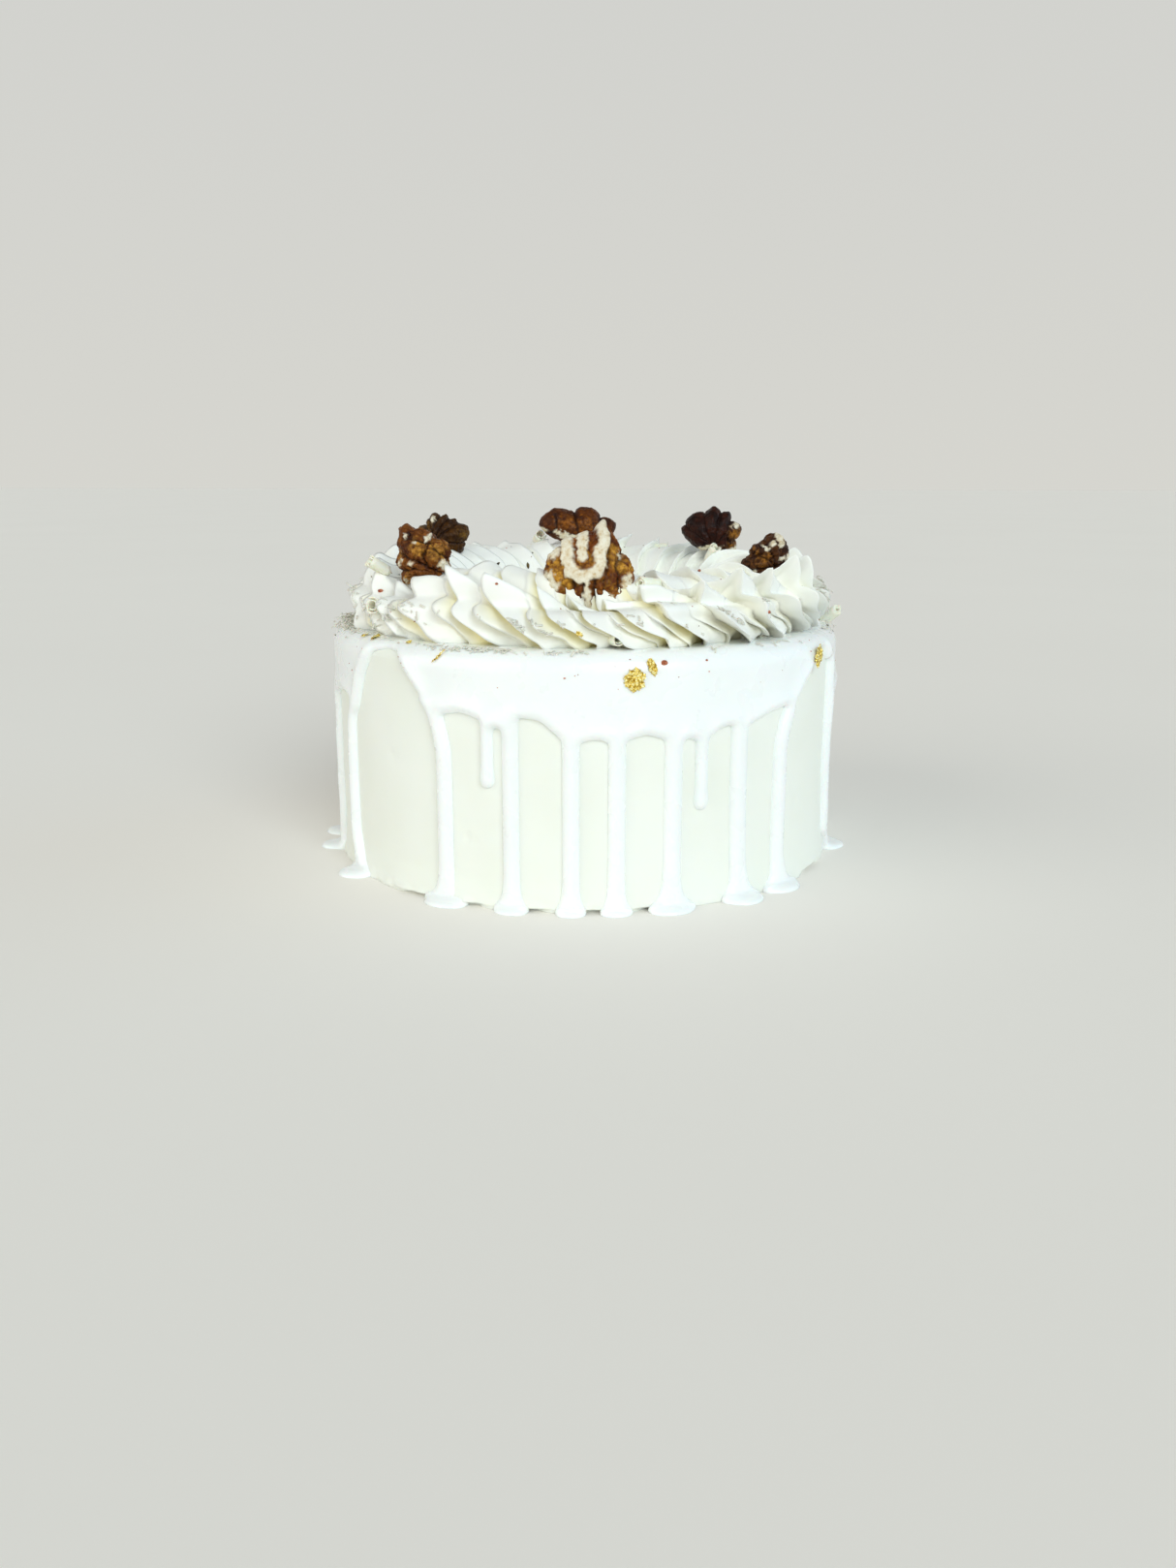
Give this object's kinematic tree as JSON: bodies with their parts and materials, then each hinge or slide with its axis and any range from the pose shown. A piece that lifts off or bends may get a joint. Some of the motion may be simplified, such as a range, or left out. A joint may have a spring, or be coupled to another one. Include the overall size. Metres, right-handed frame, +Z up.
{
  "type": "frosted layer cake",
  "caption": "Tall round carrot cake in ivory buttercream with a white drip glaze, a piped buttercream ring, walnut halves and small white chocolate curls.",
  "frame": {"origin": "middle of the flat base, where the cake stands on its board or plate", "axes": "+Z up, -Y towards the front, +X to the right of someone who faces the front"},
  "size_m": [0.2231, 0.215, 0.1407],
  "materials": {
    "buttercream": "soft matt, hand-smoothed",
    "glaze": "wet gloss",
    "piped_buttercream": "smooth satin",
    "walnut": "satin, oiled skin"
  },
  "bodies": {
    "root": {"frosted_body": "buttercream", "drip_glaze": "glaze", "piped_ring": "piped_buttercream", "walnut_front": "walnut", "walnut_front_right": "walnut", "walnut_back_right": "walnut", "walnut_back": "walnut", "walnut_back_left": "walnut", "walnut_front_left": "walnut"}
  },
  "joints": []
}
